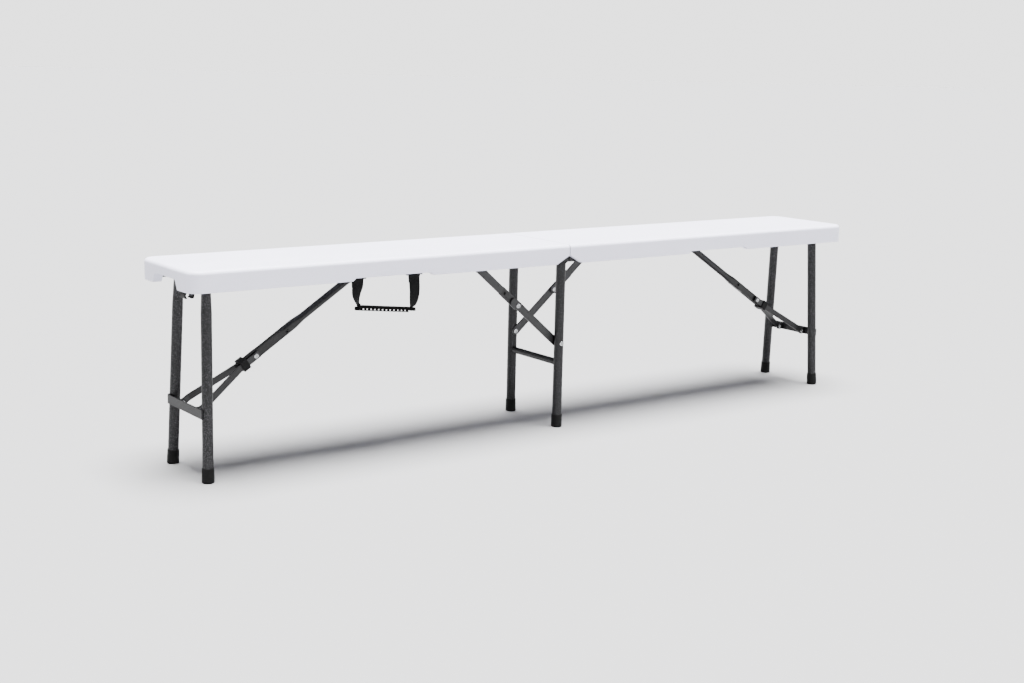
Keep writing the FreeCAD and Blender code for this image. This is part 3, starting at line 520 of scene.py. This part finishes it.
for s in ("left", "right"):
    place = lambda x, y, z, s=s: along(s, -450.0, 403.0, ANG, x, y, z)
    bm = bmesh.new()
    def swage(s_, less=0.0):
        a_ = smooth((s_ - 190.0) / 34.0)
        b_ = smooth((s_ - 241.0) / 27.0)
        return (7.94 + 0.30 * a_ - 2.84 * b_ - less, 7.94 + 1.38 * a_ - 0.64 * b_ - less, 1.0 - 0.50 * a_ - 0.25 * b_)

    rings, inner = [], []
    for i in range(49):
        s_ = 190.0 + 80.0 * i / 48.0
        rings.append(superring(bm, place, s_, *swage(s_)))
        inner.append(superring(bm, place, s_, *swage(s_, 0.5)))
    n_ = len(rings[0])
    for p_, q_ in zip(rings, rings[1:]):
        for j in range(n_):
            bm.faces.new((p_[j], p_[(j + 1) % n_], q_[(j + 1) % n_], q_[j]))
    for p_, q_ in zip(inner, inner[1:]):
        for j in range(n_):
            bm.faces.new((p_[(j + 1) % n_], p_[j], q_[j], q_[(j + 1) % n_]))
    for p_, q_ in ((rings[0], inner[0]), (inner[-1], rings[-1])):
        for j in range(n_):
            bm.faces.new((q_[j], q_[(j + 1) % n_], p_[(j + 1) % n_], p_[j]))
    sleeve = new_piece(s + "_link_swage", bm, link_mat, s + "_end_link")
    cb = bmesh.new()
    lathe(cb, place(241.43, -14.0, 0.0), Vector((0, 1 if s == "left" else -1, 0)), [(0.0, 0.0), (3.6 * MM, 0.0), (3.6 * MM, 28.0 * MM), (0.0, 28.0 * MM)], 28)
    bmesh.ops.recalc_face_normals(cb, faces=cb.faces[:])
    cm = bpy.data.meshes.new("drill")
    cb.to_mesh(cm)
    cb.free()
    co_ = bpy.data.objects.new("drill", cm)
    bpy.context.scene.collection.objects.link(co_)
    bo = sleeve.modifiers.new("hole", "BOOLEAN")
    bo.object = co_
    bo.operation = "DIFFERENCE"
    bo.solver = "EXACT"
    dg = bpy.context.evaluated_depsgraph_get()
    done = bpy.data.meshes.new_from_object(sleeve.evaluated_get(dg))
    sleeve.modifiers.clear()
    sleeve.data = done
    bpy.data.objects.remove(co_)

# ------------------------------------------------------------------ foot caps
def foot_caps(name, feet, body, replaced):
    """Moulded caps: fine upright flutes, a rounded tread edge and a lip at the mouth."""
    bm = bmesh.new()
    for foot, axis in feet:
        part = bmesh.new()
        ax = axis.normalized()
        a_ = ax.orthogonal().normalized()
        b_ = ax.cross(a_)
        n_ = 144
        prof = [(-1.2, 0.0, 0), (-1.2, 10.6, 0), (-0.2, 11.6, 0), (0.9, 12.30, 0), (2.2, 12.62, 0), (3.4, 12.70, 0),
                (4.2, 12.66, 1), (25.2, 12.30, 1), (26.0, 12.26, 0), (28.6, 12.24, 0), (29.6, 12.05, 0), (30.0, 11.6, 0),
                (30.0, 10.8, 0), (29.0, 10.8, 0), (29.0, 0.0, 0)]
        rings = []
        for h_, r_, fl in prof:
            c_ = foot + ax * (h_ * MM)
            if r_ == 0.0:
                rings.append([part.verts.new(c_)])
                continue
            ring = []
            for j in range(n_):
                w_ = 2 * math.pi * j / n_
                rr = r_ - (0.32 * (0.5 - 0.5 * math.cos(w_ * 24)) ** 0.5 if fl else 0.0)
                ring.append(part.verts.new(c_ + (a_ * math.cos(w_) + b_ * math.sin(w_)) * (rr * MM)))
            rings.append(ring)
        for p_, q_ in zip(rings, rings[1:]):
            for j in range(n_):
                k2 = (j + 1) % n_
                if len(p_) == 1:
                    part.faces.new((p_[0], q_[k2], q_[j]))
                elif len(q_) == 1:
                    part.faces.new((p_[j], p_[k2], q_[0]))
                else:
                    part.faces.new((p_[j], p_[k2], q_[k2], q_[j]))
        geo = part.verts[:] + part.edges[:] + part.faces[:]
        cutr = bmesh.ops.bisect_plane(part, geom=geo, plane_co=(0, 0, 0.00002), plane_no=(0, 0, 1), clear_inner=True)
        edges = [g for g in cutr["geom_cut"] if isinstance(g, bmesh.types.BMEdge)]
        bmesh.ops.edgenet_fill(part, edges=edges)
        tmp = bpy.data.meshes.new("cap")
        part.to_mesh(tmp)
        part.free()
        bm.from_mesh(tmp)
        bpy.data.meshes.remove(tmp)
    o = new_piece(name, bm, M["black_caps"], body)
    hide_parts(*replaced)
    return o


for s in ("left", "right"):
    feet = [(lp(s, -870.0, sy * 85.4, 0.0), lp(s, -858.0, sy * 65.0, 390.0) - lp(s, -870.0, sy * 85.4, 0.0)) for sy in (-1, 1)]
    foot_caps(s + "_cap_shells", feet, s + "_end_frame", [s + "_end_foot_caps"])
foot_caps("centre_cap_shells", [(Vector((0, sy * 0.090, 0)), Vector((0, 0, 1))) for sy in (-1, 1)], "centre_frame", ["centre_foot_caps"])

# ------------------------------------------------------------- carry handle
def strap_path(xc, stations):
    return xc, stations


def ribbon(name, stations, mat, body, half=13.25, cols=15):
    """Stations: (centre, width direction, normal, fold 0 to 1), all in mm.  The web is a grid of
    cols points across; where fold is 1 it lies in three layers."""
    bm = bmesh.new()
    uvl = bm.loops.layers.uv.new("UVMap")
    grid, run = [], []
    length = 0.0
    prev = None
    for c, w, n, f in stations:
        c, w, n = Vector(c), Vector(w).normalized(), Vector(n).normalized()
        if prev is not None:
            length += (c - prev).length
        prev = c
        row = []
        for i in range(cols):
            t = i / (cols - 1)
            a_flat = -half + 2 * half * t
            third = 2 * half / 3
            q = t * 3
            lay = min(int(q), 2)
            loc = q - lay
            a_fold = -third / 2 + third * loc if lay % 2 == 0 else third / 2 - third * loc
            b_fold = (lay - 1) * 2.05 + (0.0 if loc < 0.8 or lay == 2 else (loc - 0.8) / 0.2 * 2.05 / 2) \
                - (0.0 if loc > 0.2 or lay == 0 else (0.2 - loc) / 0.2 * 2.05 / 2)
            cup = 0.35 * math.cos(math.pi * (t - 0.5)) * math.sin(length / 9.0) * min(1.0, max(0.0, (370.0 - c.z) / 10.0))
            a_, b_ = a_flat * (1 - f) + a_fold * f * (1 - 0.42 * f), cup * (1 - f) + b_fold * f * 0.92
            row.append(bm.verts.new((c + w * a_ + n * b_) * MM))
        grid.append(row)
        run.append(length)
    for i in range(len(grid) - 1):
        for j in range(cols - 1):
            face = bm.faces.new((grid[i][j], grid[i][j + 1], grid[i + 1][j + 1], grid[i + 1][j]))
            for lo, (ii, jj) in zip(face.loops, ((i, j), (i, j + 1), (i + 1, j + 1), (i + 1, j))):
                lo[uvl].uv = (jj / (cols - 1), run[ii] / 1.7)
    o = new_piece(name, bm, mat, body)
    sol = o.modifiers.new("thick", "SOLIDIFY")
    sol.thickness = 1.5 * MM
    sol.offset = 0.0
    sub = o.modifiers.new("fine", "SUBSURF")
    sub.levels = sub.render_levels = 1
    return o, length


hy, hz = -105.6, 388.0
gx0, gz0, gz1, glong = -547.0, 327.5, 311.0, 145.0
tilt = math.atan2(gz1 - gz0, glong)
gdir = Vector((math.cos(tilt), 0, math.sin(tilt)))


def gp(x, dz=0.0):
    """A point on the grip's centre line."""
    t = (x - gx0) / math.cos(tilt)
    return Vector((gx0 + math.cos(tilt) * t - math.sin(tilt) * dz, hy, gz0 + math.sin(tilt) * t + math.cos(tilt) * dz))


def loop_over(xc, back_to):
    """From the stitched end behind, over the rod, to the front."""
    st = []
    Wd = Vector((1, 0, 0))
    R_ = 2.95
    for i in range(5):
        t = i / 4.0
        st.append((Vector((xc, hy + 1.0 + (R_ - 1.0) * t ** 1.5, back_to + (hz - 1 - back_to) * t)), Wd, Vector((0, 1, 0)), 0.0))
    for i in range(1, 10):
        a = math.pi * i / 10.0
        st.append((Vector((xc, hy + R_ * math.cos(a), hz + R_ * math.sin(a))), Wd, Vector((0, math.cos(a), math.sin(a))), 0.0))
    for z, off in ((387.0, 2.92), (385.2, 2.40), (383.4, 1.72), (380.8, 1.22), (377.0, 0.94), (372.0, 0.80)):
        st.append((Vector((xc, hy - off, z)), Wd, Vector((0, -1, 0)), 0.0))
    return st


def twist(deg):
    a = math.radians(deg)
    return Vector((math.cos(a), math.sin(a), 0)), Vector((math.sin(a), -math.cos(a), 0))


left = loop_over(-542.2, 369.0)
for z, x, tw, f in ((366, -543.4, 5, 0), (360, -545.0, 12, 0), (354, -545.4, 20, 0), (348, -545.0, 29, 0.0),
                    (343, -544.0, 37, 0.05), (338, -542.6, 45, 0.16), (334, -541.0, 52, 0.38)):
    w, n = twist(tw)
    left.append((Vector((x, hy - 0.9 + 0.9 * (366 - z) / 32, z)), w, n, f))
turn_in = []
for i, (ang, f) in enumerate(((20, 0.62), (45, 0.85), (70, 0.97), (90, 1.0))):
    a = math.radians(ang)
    c = gp(-540.5 + 6.0 * (1 - math.cos(a)) + 0.6 * i, 5.6 - 3.3 * math.sin(a))
    wd = Vector((math.cos(math.radians(60 - 60 * ang / 90.0)) * math.cos(a), 0.55 * (1 - ang / 90.0), math.sin(a))).normalized()
    turn_in.append((c, Vector((0, 0, 1)) * (ang / 90.0) + wd * (1 - ang / 90.0), Vector((0, -1, 0)), f))
inside = [(gp(x, 2.3), Vector((-math.sin(tilt), 0, math.cos(tilt))), Vector((0, -1, 0)), 1.0)
          for x in (-526, -510, -492, -474, -456, -440, -428)]
turn_out = []
for ang, f in ((60, 0.96), (40, 0.82), (20, 0.55)):
    a = math.radians(ang)
    c = gp(-410.5 - 7.0 * (1 - math.cos(a)), 5.6 - 3.3 * math.sin(a))
    mixv = ang / 90.0
    w, n = twist(27)
    turn_out.append((c, Vector((0, 0, 1)) * mixv + w * (1 - mixv), Vector((0, -1, 0)), f))
right_up = []
for z, x, tw, f in ((319, -408.0, 27, 0.34), (323, -407.0, 22, 0.20), (328, -405.8, 16, 0.10), (334, -404.9, 11, 0.04),
                    (341, -404.2, 7, 0.0), (350, -403.6, 4, 0.0), (358, -403.8, 2, 0.0), (366, -404.6, 0, 0.0)):
    w, n = twist(tw)
    right_up.append((Vector((x, hy - 0.9 * (z - 319) / 47, z)), w, n, f))
right_loop = list(reversed(loop_over(-405.0, 369.0)))
stations = left + turn_in + inside + turn_out + right_up + right_loop
# keep the width direction and the normal from flipping along the way
fixed = []
for c, w, n, f in stations:
    w, n = Vector(w).normalized(), Vector(n)
    n = (n - w * n.dot(w)).normalized()
    fixed.append((c, w, n, f))
strap, strap_len = ribbon("carry_strap", fixed, M["webbing"], "handle")
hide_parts("handle_strap")

# rows of stitches that close the two loops
bm = bmesh.new()
for xc in (-542.4, -405.0):
    for z in (373.5, 369.5):
        for i in range(9):
            x = xc - 10.4 + 2.6 * i
            c = Vector((x, hy - 1.95, z)) * MM
            mat_ = Matrix.Translation(c) @ Matrix.Diagonal((1.0, 0.32, 0.30, 1.0))
            bmesh.ops.create_uvsphere(bm, u_segments=8, v_segments=6, radius=0.95 * MM, matrix=mat_)
st_obj = new_piece("strap_stitches", bm, M["webbing"], "handle")

# grip: a rounded bar with a groove, end blocks, and a comb of plain ribs over a thin lower rail
def tube_of(bm, sections):
    """Joins rings of points given in the grip's frame: along it, up and out, in mm."""
    upv = Vector((-math.sin(tilt), 0, math.cos(tilt)))
    rings = []
    for ring in sections:
        rings.append([bm.verts.new((Vector((gx0, hy, gz0)) + gdir * s_ + upv * up_ + Vector((0, yy, 0))) * MM)
                      for s_, up_, yy in ring])
    n = len(rings[0])
    for p, q in zip(rings, rings[1:]):
        for j in range(n):
            bm.faces.new((p[j], p[(j + 1) % n], q[(j + 1) % n], q[j]))
    bm.faces.new(rings[0][::-1])
    bm.faces.new(rings[-1])


def oval(s_, mid, half_up, half_out, n=28, e_=0.62, groove=0.0):
    ring = []
    for j in range(n):
        a_ = 2 * math.pi * j / n
        ca, sa = math.cos(a_), math.sin(a_)
        g_ = 1.0 - groove * math.exp(-((abs(ca) - 1.0) / 0.02) ** 2) if groove else 1.0
        ring.append((s_, mid + half_up * math.copysign(abs(sa) ** e_, sa),
                     half_out * g_ * math.copysign(abs(ca) ** e_, ca)))
    return ring


bm = bmesh.new()
secs = []
for i in range(61):
    s_ = 6.0 + 133.0 * i / 60.0
    e_ = min(s_ - 6.0, 139.0 - s_)
    k_ = math.sqrt(max(0.0, 1 - (1 - min(1.0, e_ / 2.0)) ** 2)) * 0.35 + 0.65
    secs.append(oval(s_, 2.3, 3.4 * k_, 5.2 * k_, groove=0.12))
tube_of(bm, secs)
for s0, s1, mid in ((0.0, 10.0, -1.9), (131.0, 144.8, 1.4)):
    secs = []
    for i in range(13):
        s_ = s0 + (s1 - s0) * i / 12.0
        e_ = min(s_ - s0, s1 - s_)
        k_ = 0.72 + 0.28 * math.sqrt(max(0.0, 1 - (1 - min(1.0, e_ / 1.6)) ** 2))
        secs.append(oval(s_, mid, 3.9 * k_, 5.7 * k_))
    tube_of(bm, secs)
secs = []
for i in range(41):
    s_ = 5.0 + 123.4 * i / 40.0
    secs.append(oval(s_, -5.1, 0.65, 4.6, 16, 0.8))
tube_of(bm, secs)
for i in range(13):
    c_ = 14.5 + 9.3 * i
    secs = []
    for q_ in range(5):
        s_ = c_ - 1.3 + 2.6 * q_ / 4.0
        k_ = 0.86 if q_ in (0, 4) else 1.0
        secs.append(oval(s_, -2.6, 2.6, 4.3 * k_, 16, 0.5))
    tube_of(bm, secs)
grip = new_piece("carry_grip", bm, M["black_grip"], "handle")
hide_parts("handle_grip")

# ---------------------------------------------------------------- floor, light
bm = bmesh.new()
bmesh.ops.create_grid(bm, x_segments=2, y_segments=2, size=60.0)
me = bpy.data.meshes.new("floor")
bm.to_mesh(me)
bm.free()
floor = bpy.data.objects.new("floor", me)
bpy.context.scene.collection.objects.link(floor)
floor.location.z = -0.0004
fm = Mat("floor")
fm.put(Base_Color=(0.30, 0.30, 0.303), Roughness=0.95)
fm.b.inputs["Specular IOR Level"].default_value = 0.0
me.materials.append(fm.m)

world = bpy.data.worlds.new("studio")
world.use_nodes = True
wt = world.node_tree
wc = wt.nodes.new("ShaderNodeTexCoord")
ws = wt.nodes.new("ShaderNodeSeparateXYZ")
wr = wt.nodes.new("ShaderNodeValToRGB")
wt.links.new(wc.outputs["Generated"], ws.inputs[0])
wt.links.new(ws.outputs["Z"], wr.inputs["Fac"])
el = wr.color_ramp.elements
el[0].position, el[0].color = 0.045, (1.0, 1.0, 1.0, 1)
el[1].position, el[1].color = 0.14, (0.17, 0.17, 0.175, 1)
wt.links.new(wr.outputs["Color"], wt.nodes["Background"].inputs["Color"])
wm = wt.nodes.new("ShaderNodeMapRange")
for sock, v in (("From Min", -1.0), ("From Max", 0.2), ("To Min", 1.65), ("To Max", 2.6)):
    wm.inputs[sock].default_value = v
wt.links.new(ws.outputs["X"], wm.inputs["Value"])
wt.links.new(wm.outputs["Result"], wt.nodes["Background"].inputs["Strength"])
bpy.context.scene.world = world

sun_data = bpy.data.lights.new("overhead", "SUN")
sun_data.energy = 26.0
sun_data.angle = math.radians(36)
sun = bpy.data.objects.new("overhead", sun_data)
bpy.context.scene.collection.objects.link(sun)
sun.rotation_euler = Vector((-0.050, 0.024, -1.0)).to_track_quat("-Z", "Y").to_euler()


def area(name, loc, target, size, power, size_y=None):
    ld = bpy.data.lights.new(name, "AREA")
    ld.energy = power
    ld.size = size
    if size_y:
        ld.shape = "RECTANGLE"
        ld.size_y = size_y
    o = bpy.data.objects.new(name, ld)
    bpy.context.scene.collection.objects.link(o)
    o.location = loc
    o.rotation_euler = (Vector(target) - Vector(loc)).to_track_quat("-Z", "Y").to_euler()
    return o


area("key", (-1.9, -4.1, 1.3), (-0.3, 0.0, 0.25), 0.16, 26, 2.4)
area("side", (1.6, -3.6, 1.3), (0.3, 0.0, 0.25), 0.16, 16, 2.4)
